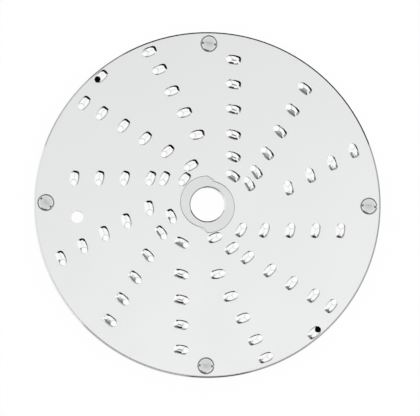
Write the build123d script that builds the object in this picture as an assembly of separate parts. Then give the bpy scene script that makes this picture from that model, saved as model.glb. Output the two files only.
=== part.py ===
from build123d import *
import math
import os

# Grating disc of a vegetable cutter: a toothed steel plate screwed to a cast carrier.
# Millimetres. The origin is on the bore's axis at the underside, +Z points out of the toothed face,
# and the disc turns counter-clockwise as seen from above.

# Overall sizes
DISC_RADIUS = 102.5
CARRIER_DEPTH = 7.0
PLATE_THICKNESS = 1.0

# Carrier: rim, spokes and hub
RIM_WIDTH = 4.4
RIM_BEVEL_WIDTH = 0.9
RIM_BEVEL_DEPTH = 0.75
SPOKE_WIDTH = 6.0
SPOKE_RECESS = 2.0
SPOKE_FOOT = 2.0
WINDOW_CORNER_RADIUS = 1.5
HUB_SHOULDER = 1.15
BORE_RADIUS = 10.0
BORE_BEVEL_WIDTH = 0.8
BORE_BEVEL_DEPTH = 0.65

# Lobed key between the hub's spigot and the plate's cutout
SPIGOT_WALL = 5.35
KEY_ECCENTRICITY = 1.6
KEY_LOBE_ANGLE = 115.0
KEY_LOBE_START_ANGLE = 89.0
KEY_LOBE_END_ANGLE = 260.5
KEY_ROOT_RADIUS = 1.5
KEY_TIP_RADIUS = 0.5
KEY_CLEARANCE = 0.15
SPIGOT_SETBACK = 0.15

# Plate
PLATE_INSET = 0.9
SPARE_HOLE_RADIUS = 3.5
SPARE_HOLE_EDGE_DISTANCE = 25.2
SPARE_HOLE_ANGLE = 185.7

# Teeth: each is a round hole with a hood raised behind it
TOOTH_HOLE_RADIUS = 1.75
TOOTH_HOLE_SIDES = 12
TOOTH_SHOULDER = 1.15
TOOTH_SHOULDER_REACH = 0.9
TOOTH_HEIGHT = 1.5
TOOTH_WALL = 0.9
TOOTH_DRAFT_ANGLE = 30.0
TOOTH_TAIL_LENGTH = 7.2
TOOTH_TAIL_WALL = 2.4
TOOTH_TAIL_WIDTH = 2.6
TOOTH_TAIL_CORNER = 1.8

# Tooth pattern: twelve straight rows of teeth, set to one side of the disc's radii
ROW_LETTERS = "ABCDEFGHIJKL"
ROW_A_ANGLE = 90.0
ROW_OFFSET = 12.7
RING_STEP = 2.4
FIRST_RING_EDGE_DISTANCE = 5.7
# The row of each ring from the rim inwards; its twin is in the row half a turn away.
TWIN_ROWS = "FECBA" + 3 * "FEDCBA" + "FED"
# The rows of the innermost rings, where the rows crowd around the hub.
INNER_ROWS = ["BI", "AH", "EJ", "BG", "DK", "AH", "EJ"]
EDGE_TOOTH_MARGIN = 0.2
EDGE_TOOTH_ANGLES = [131.4, 311.4]
EDGE_POCKET_CLEARANCE = 0.25
EDGE_POCKET_FLOOR = 2.0
EDGE_POCKET_WALL = 2.0

# Screws through the plate into the carrier
SCREW_COUNT = 4
SCREW_PHASE_ANGLE = -0.55
SCREW_EDGE_DISTANCE = 7.1
SCREW_BOSS_RADIUS = 6.0
SCREW_SHANK_RADIUS = 2.5
SCREW_FLOOR = 1.2
SCREW_HEAD_RADIUS = 4.6
SCREW_COUNTERSINK_RADIUS = 5.15
SCREW_SEAT_CLEARANCE = 0.05
SCREW_THREAD_CLEARANCE = 0.05
SCREW_TIP_CLEARANCE = 0.3
SLOT_WIDTH = 1.2
SLOT_DEPTH = 1.2
SLOT_ANGLES = [-7.0, -8.0, -41.0, -4.0]

# How far a cutting tool runs past the face it breaks through
OVERCUT = 1.0

# Levels and radii that follow from the sizes above
PLATE_TOP = CARRIER_DEPTH + PLATE_THICKNESS
PLATE_RADIUS = DISC_RADIUS - PLATE_INSET
RIM_INNER_RADIUS = DISC_RADIUS - RIM_WIDTH
KEY_ARC_RADIUS = BORE_RADIUS + SPIGOT_WALL
HUB_RADIUS = KEY_ARC_RADIUS + KEY_ECCENTRICITY + HUB_SHOULDER
SPIGOT_TOP = PLATE_TOP - SPIGOT_SETBACK
SCREW_CIRCLE_RADIUS = DISC_RADIUS - SCREW_EDGE_DISTANCE
HEAD_SINK = SCREW_COUNTERSINK_RADIUS - SCREW_HEAD_RADIUS - SCREW_SEAT_CLEARANCE
SCREW_HOLE_DEPTH = PLATE_TOP - SCREW_FLOOR
SCREW_LENGTH = SCREW_HOLE_DEPTH - SCREW_TIP_CLEARANCE - HEAD_SINK
TOOTH_WIDTH = 2 * (TOOTH_HOLE_RADIUS + TOOTH_SHOULDER)
EDGE_POCKET_RADIUS = TOOTH_HOLE_RADIUS + EDGE_POCKET_CLEARANCE


def polar(radius, degrees):
    """A point at this distance and angle from the disc's axis."""
    angle = math.radians(degrees)
    return Vector(radius * math.cos(angle), radius * math.sin(angle))


def on_disc(radius, degrees, level=0.0):
    """A place at this distance, angle and height, its X axis pointing outwards."""
    point = polar(radius, degrees)
    return Pos(point.X, point.Y, level) * Rot(0, 0, degrees)


def disc(radius, bottom, top):
    """A round slab between two heights."""
    return Pos(0, 0, bottom) * Cylinder(radius, top - bottom, align=(Align.CENTER, Align.CENTER, Align.MIN))


def screw_angles():
    """The angles of the screws, and of the spokes that carry their bosses."""
    return [SCREW_PHASE_ANGLE + index * 360 / SCREW_COUNT for index in range(SCREW_COUNT)]


def key_outline():
    """The two-lobed outline of the plate's cutout: two eccentric arcs joined by two steps."""

    def on_lobe(degrees):
        """The point of the first lobe's arc that is seen from the disc's axis at this angle."""
        along = KEY_ECCENTRICITY * math.cos(math.radians(degrees - KEY_LOBE_ANGLE))
        across = KEY_ECCENTRICITY * math.sin(math.radians(degrees - KEY_LOBE_ANGLE))
        return polar(along + math.sqrt(KEY_ARC_RADIUS**2 - across**2), degrees)

    start = on_lobe(KEY_LOBE_START_ANGLE)
    middle = on_lobe((KEY_LOBE_START_ANGLE + KEY_LOBE_END_ANGLE) / 2)
    end = on_lobe(KEY_LOBE_END_ANGLE)
    lines = [
        ThreePointArc(start, middle, end),
        Line(end, -start),
        ThreePointArc(-start, -middle, -end),
        Line(-end, start),
    ]
    outline = make_face(lines)
    outline = fillet(outline.vertices().sort_by_distance((0, 0))[:2], KEY_ROOT_RADIUS)
    return fillet(outline.vertices().sort_by_distance((0, 0))[-2:], KEY_TIP_RADIUS)


def tooth_places():
    """The place of each row tooth's hole on the plate, its X axis along the tooth towards the front."""
    places = []
    half_turn = len(ROW_LETTERS) // 2
    twins = dict(zip(ROW_LETTERS, ROW_LETTERS[half_turn:] + ROW_LETTERS[:half_turn]))
    rings = [letter + twins[letter] for letter in TWIN_ROWS]
    for ring, letters in enumerate(rings + INNER_ROWS):
        radius = DISC_RADIUS - FIRST_RING_EDGE_DISTANCE - ring * RING_STEP
        if radius - TOOTH_HOLE_RADIUS < HUB_RADIUS:
            break
        for letter in letters:
            row_angle = ROW_A_ANGLE - ROW_LETTERS.index(letter) * 360 / len(ROW_LETTERS)
            hole_angle = row_angle - math.degrees(math.asin(ROW_OFFSET / radius))
            places.append(on_disc(radius, hole_angle, PLATE_TOP) * Rot(0, 0, 90))
    return places


def edge_tooth_radius():
    """The distance of the two edge teeth's holes from the disc's axis."""
    return PLATE_RADIUS - EDGE_TOOTH_MARGIN - TOOTH_WIDTH / 2


def edge_tooth_places():
    """The places of the two teeth at the plate's edge."""
    return [on_disc(edge_tooth_radius(), angle, PLATE_TOP) * Rot(0, 0, 90) for angle in EDGE_TOOTH_ANGLES]


def tooth_hood():
    """A solid hood over one tooth: hole centre at the origin, front along +X, sheet's top at Z = 0."""
    half = TOOTH_WIDTH / 2
    tail_half = TOOTH_TAIL_WIDTH / 2
    corner_x = TOOTH_TAIL_CORNER - TOOTH_TAIL_LENGTH
    outline = Polygon(
        (TOOTH_SHOULDER_REACH, -half),
        (TOOTH_SHOULDER_REACH, half),
        (corner_x, half),
        (-TOOTH_TAIL_LENGTH, tail_half),
        (-TOOTH_TAIL_LENGTH, -tail_half),
        (corner_x, -half),
        align=None,
    )
    hood = extrude(outline, TOOTH_HEIGHT, taper=TOOTH_DRAFT_ANGLE)
    # The front slopes from the lip at the hole's rear edge down to the shoulders beside the hole.
    front = Polygon(
        (-TOOTH_HOLE_RADIUS, TOOTH_HEIGHT),
        (TOOTH_SHOULDER_REACH, 0),
        (TOOTH_SHOULDER_REACH + OVERCUT, 0),
        (TOOTH_SHOULDER_REACH + OVERCUT, TOOTH_HEIGHT + OVERCUT),
        (-TOOTH_HOLE_RADIUS, TOOTH_HEIGHT + OVERCUT),
        align=None,
    )
    return hood - extrude(Plane.XZ * front, TOOTH_WIDTH, both=True)


def tooth_opening():
    """The hole at the tooth's front and the hollow behind it, as wide as the hole, under the hood."""
    bottom = -PLATE_THICKNESS - OVERCUT
    punch = RegularPolygon(TOOTH_HOLE_RADIUS, TOOTH_HOLE_SIDES)
    hollow_length = TOOTH_TAIL_LENGTH - TOOTH_TAIL_WALL
    hollow = punch + Rectangle(hollow_length, 2 * TOOTH_HOLE_RADIUS, align=(Align.MAX, Align.CENTER))
    hole = extrude(punch, TOOTH_HEIGHT + OVERCUT - bottom)
    return Pos(0, 0, bottom) * (hole + extrude(hollow, TOOTH_HEIGHT - TOOTH_WALL - bottom))


def countersink():
    """The tool that makes one screw's seat: hole mouth at the origin, screw pointing down."""
    hole_radius = SCREW_SHANK_RADIUS + SCREW_THREAD_CLEARANCE
    profile = Polygon(
        (0, -SCREW_HOLE_DEPTH),
        (hole_radius, -SCREW_HOLE_DEPTH),
        (hole_radius, hole_radius - SCREW_COUNTERSINK_RADIUS),
        (SCREW_COUNTERSINK_RADIUS, 0),
        (SCREW_COUNTERSINK_RADIUS, OVERCUT),
        (0, OVERCUT),
        align=None,
    )
    return revolve(Plane.XZ * profile, Axis.Z)


def screw(slot_angle):
    """A slotted countersunk screw, hole mouth at the origin, screw pointing down."""
    head_depth = SCREW_HEAD_RADIUS - SCREW_SHANK_RADIUS
    profile = Polygon(
        (0, -SCREW_LENGTH),
        (SCREW_SHANK_RADIUS, -SCREW_LENGTH),
        (SCREW_SHANK_RADIUS, -head_depth),
        (SCREW_HEAD_RADIUS, 0),
        (0, 0),
        align=None,
    )
    body = revolve(Plane.XZ * profile, Axis.Z)
    slot = Box(2 * (SCREW_HEAD_RADIUS + OVERCUT), SLOT_WIDTH, 2 * SLOT_DEPTH)
    return Pos(0, 0, -HEAD_SINK) * (body - Rot(0, 0, slot_angle) * slot)


def grating_plate():
    """The pressed sheet with its teeth, cutout and holes."""
    sheet = disc(PLATE_RADIUS, CARRIER_DEPTH, PLATE_TOP)
    places = tooth_places() + edge_tooth_places()
    hood = tooth_hood()
    opening = tooth_opening()
    cuts = [place * opening for place in places]
    cuts.append(Pos(0, 0, CARRIER_DEPTH - OVERCUT) * extrude(key_outline(), PLATE_THICKNESS + 2 * OVERCUT))
    spare_hole = disc(SPARE_HOLE_RADIUS, CARRIER_DEPTH - OVERCUT, PLATE_TOP + OVERCUT)
    cuts.append(on_disc(DISC_RADIUS - SPARE_HOLE_EDGE_DISTANCE, SPARE_HOLE_ANGLE) * spare_hole)
    cuts += [on_disc(SCREW_CIRCLE_RADIUS, angle, PLATE_TOP) * countersink() for angle in screw_angles()]
    return sheet + [place * hood for place in places] - cuts


def carrier_windows():
    """The outlines of the openings between the spokes, the hub and the rim."""
    opening = Circle(RIM_INNER_RADIUS) - Circle(HUB_RADIUS)
    for angle in screw_angles():
        spoke = Rectangle(DISC_RADIUS, SPOKE_WIDTH, align=(Align.MIN, Align.CENTER))
        opening -= Rot(0, 0, angle) * spoke
        opening -= on_disc(SCREW_CIRCLE_RADIUS, angle) * Circle(SCREW_BOSS_RADIUS)
    for angle in EDGE_TOOTH_ANGLES:
        opening -= on_disc(edge_tooth_radius(), angle) * Circle(EDGE_POCKET_RADIUS + EDGE_POCKET_WALL)
    return fillet(opening.vertices(), WINDOW_CORNER_RADIUS)


def spoke_recess():
    """The cut that lifts a spoke's underside between its full-depth ends at the hub and the boss."""
    start = HUB_RADIUS + SPOKE_FOOT
    length = SCREW_CIRCLE_RADIUS - SCREW_BOSS_RADIUS - SPOKE_FOOT - start
    outline = Rectangle(length, SPOKE_WIDTH + 2 * OVERCUT, align=(Align.MIN, Align.CENTER))
    return Pos(start, 0, -OVERCUT) * extrude(outline, SPOKE_RECESS + OVERCUT)


def bore_drill():
    """The tool that makes the bore and bevels its two mouths."""
    mouth_radius = BORE_RADIUS + BORE_BEVEL_WIDTH
    profile = Polygon(
        (0, -OVERCUT),
        (mouth_radius, -OVERCUT),
        (mouth_radius, 0),
        (BORE_RADIUS, BORE_BEVEL_DEPTH),
        (BORE_RADIUS, SPIGOT_TOP - BORE_BEVEL_DEPTH),
        (mouth_radius, SPIGOT_TOP),
        (mouth_radius, SPIGOT_TOP + OVERCUT),
        (0, SPIGOT_TOP + OVERCUT),
        align=None,
    )
    return revolve(Plane.XZ * profile, Axis.Z)


def bevelled_blank():
    """The round blank of the casting, its upper edge bevelled."""
    profile = Polygon(
        (0, 0),
        (DISC_RADIUS, 0),
        (DISC_RADIUS, CARRIER_DEPTH - RIM_BEVEL_DEPTH),
        (DISC_RADIUS - RIM_BEVEL_WIDTH, CARRIER_DEPTH),
        (0, CARRIER_DEPTH),
        align=None,
    )
    return revolve(Plane.XZ * profile, Axis.Z)


def carrier():
    """The casting under the plate: rim, spokes, screw bosses, tooth pockets, hub and lobed spigot."""
    body = bevelled_blank()
    angles = screw_angles()
    windows = Pos(0, 0, -OVERCUT) * extrude(carrier_windows(), CARRIER_DEPTH + 2 * OVERCUT)
    spigot = extrude(offset(key_outline(), -KEY_CLEARANCE), SPIGOT_TOP - CARRIER_DEPTH)
    recess = spoke_recess()
    body = body - windows - [Rot(0, 0, angle) * recess for angle in angles]
    body += Pos(0, 0, CARRIER_DEPTH) * spigot
    edge_pocket = disc(EDGE_POCKET_RADIUS, EDGE_POCKET_FLOOR, PLATE_TOP)
    drills = [bore_drill()]
    drills += [on_disc(edge_tooth_radius(), angle) * edge_pocket for angle in EDGE_TOOTH_ANGLES]
    drills += [on_disc(SCREW_CIRCLE_RADIUS, angle, PLATE_TOP) * countersink() for angle in angles]
    return body - drills


def rim_screws():
    """The four screws as separate solids, each with its slot turned as it was left."""
    screws = []
    for index, angle in enumerate(screw_angles()):
        point = polar(SCREW_CIRCLE_RADIUS, angle)
        slot_angle = SLOT_ANGLES[index % len(SLOT_ANGLES)]
        screws.append(Pos(point.X, point.Y, PLATE_TOP) * screw(slot_angle))
    return Compound(children=screws)


os.makedirs("parts", exist_ok=True)
export_step(grating_plate(), "parts/grating_plate.step")
export_step(carrier(), "parts/carrier.step")
export_step(rim_screws(), "parts/rim_screws.step")
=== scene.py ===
import logging
import math
from collections.abc import Callable, Iterable, Sequence
from dataclasses import dataclass, field
from enum import Enum
from functools import cached_property

import bmesh
import bpy
from bpy.types import Material, Mesh, NodeSocket, NodeTree, Object
from mathutils import Matrix, Vector


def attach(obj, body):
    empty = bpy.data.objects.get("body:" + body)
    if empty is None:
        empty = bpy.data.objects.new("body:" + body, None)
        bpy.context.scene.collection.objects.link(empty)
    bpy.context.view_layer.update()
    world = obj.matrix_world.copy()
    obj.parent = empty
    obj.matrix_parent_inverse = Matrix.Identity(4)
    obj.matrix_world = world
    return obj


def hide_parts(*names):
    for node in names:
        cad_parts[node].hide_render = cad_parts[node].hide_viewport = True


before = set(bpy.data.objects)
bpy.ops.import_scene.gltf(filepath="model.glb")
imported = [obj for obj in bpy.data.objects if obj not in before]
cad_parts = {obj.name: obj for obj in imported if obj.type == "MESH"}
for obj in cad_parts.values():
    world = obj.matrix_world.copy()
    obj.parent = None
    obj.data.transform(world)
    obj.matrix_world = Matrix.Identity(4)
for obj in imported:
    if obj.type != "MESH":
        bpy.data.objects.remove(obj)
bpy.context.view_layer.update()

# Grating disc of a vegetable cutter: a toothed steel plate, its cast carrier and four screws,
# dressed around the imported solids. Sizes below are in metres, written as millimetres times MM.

BODY = "root"
MM = 0.001
CORNER_STEPS = 24
RISE = (0.0, 1.0)
FALL = (1.0, 0.0)

Point = tuple[float, float]
Place = tuple[float, float, float]
Colour = tuple[float, float, float]
Outline = list[Point]
Loop = list[Place]
Sockets = bpy.types.bpy_prop_collection

log = logging.getLogger("grating_disc")


class Node(Enum):
    """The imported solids."""

    PLATE = "grating_plate"
    CARRIER = "carrier"
    SCREWS = "rim_screws"


class Slot(Enum):
    """The record's material slots."""

    PLATE = "plate_steel"
    CARRIER = "carrier_aluminium"
    SCREWS = "screw_steel"


def polar(radius: float, degrees: float) -> Point:
    """Gives the point at a radius and an angle, counter-clockwise from +X."""
    angle = math.radians(degrees)
    return radius * math.cos(angle), radius * math.sin(angle)


def circle(radius: float, count: int, centre: Point = (0.0, 0.0)) -> Outline:
    """Gives so many evenly spaced points around a circle, counter-clockwise."""
    points = [polar(radius, 360 * index / count) for index in range(count)]
    return [(centre[0] + x, centre[1] + y) for x, y in points]


def at_height(outline: Outline, level: float) -> Loop:
    """Lifts a flat outline to one height."""
    return [(x, y, level) for x, y in outline]


def rounded_outline(corners: Sequence[Place], count: int) -> Outline:
    """Rounds a polygon's corners and spaces points evenly along the result.

    Args:
        corners: X, Y and corner radius of each corner, counter-clockwise.
        count: How many points to space along the outline.

    Returns:
        The spaced points, counter-clockwise, from the middle of the last side.
    """
    path: list[Vector] = []
    total = len(corners)
    for index, (x, y, radius) in enumerate(corners):
        here = Vector((x, y))
        back = (Vector(corners[index - 1][:2]) - here).normalized()
        ahead = (Vector(corners[(index + 1) % total][:2]) - here).normalized()
        half_turn = (math.pi - back.angle(ahead)) / 2
        reach = radius * math.tan(half_turn)
        bisector = (back + ahead).normalized()
        centre = here + bisector * radius / math.cos(half_turn)
        start = here + back * reach - centre
        turn = 2 * half_turn / CORNER_STEPS
        for step in range(CORNER_STEPS + 1):
            cosine, sine = math.cos(step * turn), math.sin(step * turn)
            swung = (start.x * cosine - start.y * sine, start.x * sine + start.y * cosine)
            path.append(centre + Vector(swung))
    path.insert(0, (path[0] + path[-1]) / 2)
    return spaced(path, count)


def spaced(path: Sequence[Vector], count: int) -> Outline:
    """Spaces points evenly along a closed path.

    Args:
        path: The path's points, the first one not repeated at the end.
        count: How many points to space along it.

    Returns:
        The spaced points, from the path's first.
    """
    closed = [*path, path[0]]
    runs = [(b - a).length for a, b in zip(closed, closed[1:])]
    spacing = sum(runs) / count
    points, walked, leg = [], 0.0, 0
    for index in range(count):
        while leg < len(runs) - 1 and walked + runs[leg] < index * spacing:
            walked += runs[leg]
            leg += 1
        share = (index * spacing - walked) / runs[leg] if runs[leg] else 0.0
        point = closed[leg].lerp(closed[leg + 1], share)
        points.append((point.x, point.y))
    return points


class MeshDraft:
    """A mesh in the making, put together from loops of points."""

    def __init__(self) -> None:
        """Starts with an empty mesh."""
        self.mesh = bmesh.new()

    def ring(self, loop: Loop) -> list[bmesh.types.BMVert]:
        """Adds the points of one loop."""
        return [self.mesh.verts.new(point) for point in loop]

    def skin(self, loops: Sequence[Loop]) -> None:
        """Joins neighbouring loops with quads, facing outwards for loops that go round and down.

        Args:
            loops: Loops of equal length, in order.
        """
        rings = [self.ring(loop) for loop in loops]
        for upper, lower in zip(rings, rings[1:]):
            for index in range(len(upper)):
                ahead = (index + 1) % len(upper)
                self.mesh.faces.new((upper[index], lower[index], lower[ahead], upper[ahead]))

    def mark(self, name: str, indices: Iterable[int]) -> None:
        """Sets a face attribute to one on some faces.

        Args:
            name: The attribute's name.
            indices: The faces' numbers.
        """
        layer = self.mesh.faces.layers.float.new(name)
        self.mesh.faces.ensure_lookup_table()
        for index in indices:
            self.mesh.faces[index][layer] = 1.0

    def finish(self, name: str, sharp_degrees: float | None = None) -> Mesh:
        """Turns the draft into a mesh.

        Args:
            name: The mesh's name.
            sharp_degrees: Edges that turn by more are shaded sharp, or None for all smooth.

        Returns:
            The finished mesh.
        """
        made = bpy.data.meshes.new(name)
        for face in self.mesh.faces:
            face.smooth = True
        self.mesh.to_mesh(made)
        self.mesh.free()
        if sharp_degrees is not None:
            made.set_sharp_from_angle(angle=math.radians(sharp_degrees))
        return made


def place_object(name: str, data: bpy.types.ID) -> Object:
    """Links a mesh or a camera into the scene as an object at the origin.

    Args:
        name: The object's name.
        data: The mesh or camera.

    Returns:
        The object.
    """
    made = bpy.data.objects.new(name, data)
    bpy.context.scene.collection.objects.link(made)
    return made


def plain_mesh(source: Object) -> Mesh:
    """Gives an object's shape, with its modifiers applied, as a plain mesh."""
    graph = bpy.context.evaluated_depsgraph_get()
    return bpy.data.meshes.new_from_object(source.evaluated_get(graph),
                                           preserve_all_data_layers=True, depsgraph=graph)


class Graph:
    """A node tree in the making, with short calls for adding and linking nodes."""

    def __init__(self, tree: NodeTree) -> None:
        """Starts on a tree and empties it."""
        self.tree = tree
        tree.nodes.clear()

    def feed(self, socket: NodeSocket, value: object) -> None:
        """Links a socket to another, or sets its value.

        Args:
            socket: The input.
            value: The socket that feeds it, or its value.
        """
        if isinstance(value, NodeSocket):
            self.tree.links.new(value, socket)
        else:
            socket.default_value = value

    def wire(self, node: bpy.types.Node, **inputs: object) -> None:
        """Feeds a node's inputs by their names, with _ for a blank."""
        for key, value in inputs.items():
            self.feed(node.inputs[key.replace("_", " ")], value)

    def add(self, kind: str, settings: dict | None = None, **inputs: object) -> bpy.types.Node:
        """Adds a node.

        Args:
            kind: The node's type.
            settings: The node's own options.
            **inputs: Values or sockets by input name, with _ for a blank.

        Returns:
            The new node.
        """
        node = self.tree.nodes.new(kind)
        for key, value in (settings or {}).items():
            setattr(node, key, value)
        self.wire(node, **inputs)
        return node

    def out(self, kind: str, output: str, settings: dict | None = None,
            **inputs: object) -> NodeSocket:
        """Adds a node as add does, and gives the output of this name."""
        return self.add(kind, settings, **inputs).outputs[output]

    def math(self, operation: str, *values: object) -> NodeSocket:
        """Adds a Math node.

        Args:
            operation: The operation's name.
            *values: Its operands, as numbers or sockets.

        Returns:
            The result's socket.
        """
        node = self.add("ShaderNodeMath", {"operation": operation})
        for socket, value in zip(node.inputs, values):
            self.feed(socket, value)
        return node.outputs[0]

    def place(self) -> NodeSocket:
        """Adds the node that gives a point's place on the piece."""
        return self.out("ShaderNodeTexCoord", "Object")

    def axes(self, vector: NodeSocket) -> Sockets:
        """Adds the node that separates a vector's X, Y and Z."""
        return self.add("ShaderNodeSeparateXYZ", Vector=vector).outputs

    def marked(self, name: str) -> NodeSocket:
        """Adds the node that reads a face attribute as a mask."""
        return self.out("ShaderNodeAttribute", "Fac", {"attribute_name": name})

    def off_axis(self, axes: Sockets) -> NodeSocket:
        """Adds the nodes that give a point's distance from the Z axis, from its X and Y."""
        squares = [self.math("MULTIPLY", axes[axis], axes[axis]) for axis in "XY"]
        return self.math("SQRT", self.math("ADD", *squares))

    def fade(self, value: NodeSocket, limits: Point, levels: tuple = RISE) -> NodeSocket:
        """Adds a smooth step between two limits, from the first level to the second."""
        return self.out("ShaderNodeMapRange", "Result", {"interpolation_type": "SMOOTHSTEP"},
                        Value=value, From_Min=limits[0], From_Max=limits[1], To_Min=levels[0],
                        To_Max=levels[1])

    def blend(self, mask: NodeSocket, off: object, on: object) -> NodeSocket:
        """Adds a mix of two values by a mask."""
        return self.out("ShaderNodeMix", "Result", {"data_type": "FLOAT"}, Factor=mask, A=off, B=on)

    def coats(self, colour: Colour, *coats: tuple[NodeSocket, Colour]) -> NodeSocket:
        """Adds a colour and further colours over it.

        Args:
            colour: The colour underneath.
            *coats: Mask and colour of each further one, in order.

        Returns:
            The resulting colour's socket.
        """
        tint = (*colour, 1.0)
        for mask, coat in coats:
            tint = self.out("ShaderNodeMixRGB", "Color", Fac=mask, Color1=tint, Color2=(*coat, 1.0))
        return tint

    def relief(self, height: NodeSocket) -> NodeSocket:
        """Adds a bump from a height in metres and gives its normal."""
        return self.out("ShaderNodeBump", "Normal", Height=height, Distance=1.0)


def start_material(name: str) -> tuple[Material, Graph]:
    """Makes an empty material.

    Args:
        name: The material's name.

    Returns:
        The material and its graph.
    """
    material = bpy.data.materials.new(name)
    material.use_nodes = True
    return material, Graph(material.node_tree)


def start_group(name: str, kind: str, inputs: dict[str, str],
                outputs: dict[str, str]) -> tuple[NodeTree, Graph, Sockets]:
    """Makes a node group with named sockets.

    Args:
        name: The group's name.
        kind: The group's type of tree.
        inputs: Type of each input by its name.
        outputs: Type of each output by its name.

    Returns:
        The group, its graph and the sockets that carry its inputs.
    """
    tree = bpy.data.node_groups.new(name, kind)
    for side, sockets in (("INPUT", inputs), ("OUTPUT", outputs)):
        for label, value_type in sockets.items():
            tree.interface.new_socket(name=label, in_out=side,
                                      socket_type="NodeSocket" + value_type)
    graph = Graph(tree)
    return tree, graph, graph.add("NodeGroupInput").outputs


@dataclass
class SurfaceEffects:
    """The shader groups that several finishes share, each built at its first use."""

    haze_detail: float = 3.0
    haze_limits: Point = (0.3, 0.7)
    ring_detail: float = 2.0

    @cached_property
    def haze(self) -> NodeTree:
        """Builds the group that gives a surface its uneven gloss, as from handling and washing.

        Returns:
            The group, with the roughness as its output.
        """
        tree, graph, given = start_group(
            "uneven_gloss", "ShaderNodeTree",
            {"Patch Size": "Float", "Smooth": "Float", "Dull": "Float"}, {"Roughness": "Float"})
        noise = graph.out("ShaderNodeTexNoise", "Fac", Vector=graph.place(),
                          Scale=graph.math("DIVIDE", 1.0, given["Patch Size"]),
                          Detail=self.haze_detail)
        rough = graph.fade(noise, self.haze_limits, (given["Smooth"], given["Dull"]))
        graph.add("NodeGroupOutput", Roughness=rough)
        return tree

    @cached_property
    def turning(self) -> NodeTree:
        """Builds the group that gives the fine rings that a lathe leaves.

        Returns:
            The group, with the rings' height as its output.
        """
        tree, graph, given = start_group("turning_rings", "ShaderNodeTree",
                                         {"Radius": "Float", "Pitch": "Float"}, {"Height": "Float"})
        turns = graph.math("DIVIDE", given["Radius"], given["Pitch"])
        height = graph.out("ShaderNodeTexNoise", "Fac", {"noise_dimensions": "1D"}, W=turns,
                           Scale=1.0, Detail=self.ring_detail)
        graph.add("NodeGroupOutput", Height=height)
        return tree


@dataclass(frozen=True)
class MetalFinish:
    """A bare metal's colour, gloss and marks."""

    name: str
    colour: Colour
    smooth: float
    dull: float
    patch_size: float

    def start(self, effects: SurfaceEffects) -> tuple[Material, Graph, bpy.types.Node, NodeSocket]:
        """Makes the material with its shader.

        Args:
            effects: The shared shader groups.

        Returns:
            The material, its graph, its shader node and its uneven gloss as a roughness.
        """
        material, graph = start_material(self.name)
        shader = graph.add("ShaderNodeBsdfPrincipled", Base_Color=(*self.colour, 1.0), Metallic=1.0)
        gloss = graph.out("ShaderNodeGroup", "Roughness", {"node_tree": effects.haze},
                          Patch_Size=self.patch_size, Smooth=self.smooth, Dull=self.dull)
        graph.add("ShaderNodeOutputMaterial", Surface=shader.outputs["BSDF"])
        return material, graph, shader, gloss


@dataclass(frozen=True)
class RolledSteel(MetalFinish):
    """Bright rolled sheet, polished with a painted highlight where the teeth were pressed, dull
    where it was cut.
    """

    grain_pitch: float = 0.12 * MM
    grain_stretch: float = 0.012
    grain_depth: float = 0.0012 * MM
    grain_detail: float = 2.0
    polish: float = 0.05
    polish_levels: Point = (8.03 * MM, 8.25 * MM)
    # Painted highlight: the raised hoods are coloured lighter, so that their lit flanks come out
    # whiter.
    hood_highlight_colour: Colour = (0.825, 0.83, 0.83)
    cut_colour: Colour = (0.52, 0.525, 0.525)
    cut_roughness: float = 0.35

    CUT_NAME = "sheared"

    def make(self, effects: SurfaceEffects) -> Material:
        """Builds the sheet's material.

        Args:
            effects: The shared shader groups.

        Returns:
            The material.
        """
        material, graph, shader, gloss = self.start(effects)
        place = graph.place()
        level = graph.axes(place)["Z"]
        cut = graph.marked(self.CUT_NAME)
        # Mask of the raised hoods, which take the painted highlight colour.
        pressed = graph.fade(level, self.polish_levels)
        polished = graph.fade(level, self.polish_levels, (gloss, self.polish))
        depth = graph.fade(level, self.polish_levels, (self.grain_depth, 0.0))
        drawn = graph.out("ShaderNodeMapping", "Vector", Vector=place,
                          Scale=(self.grain_stretch, 1.0, 1.0))
        grain = graph.out("ShaderNodeTexNoise", "Fac", Vector=drawn, Scale=1 / self.grain_pitch,
                          Detail=self.grain_detail)
        graph.wire(shader,
                   Base_Color=graph.coats(self.colour, (pressed, self.hood_highlight_colour),
                                          (cut, self.cut_colour)),
                   Roughness=graph.blend(cut, polished, self.cut_roughness),
                   Normal=graph.relief(graph.math("MULTIPLY", grain, depth)))
        return material


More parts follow.
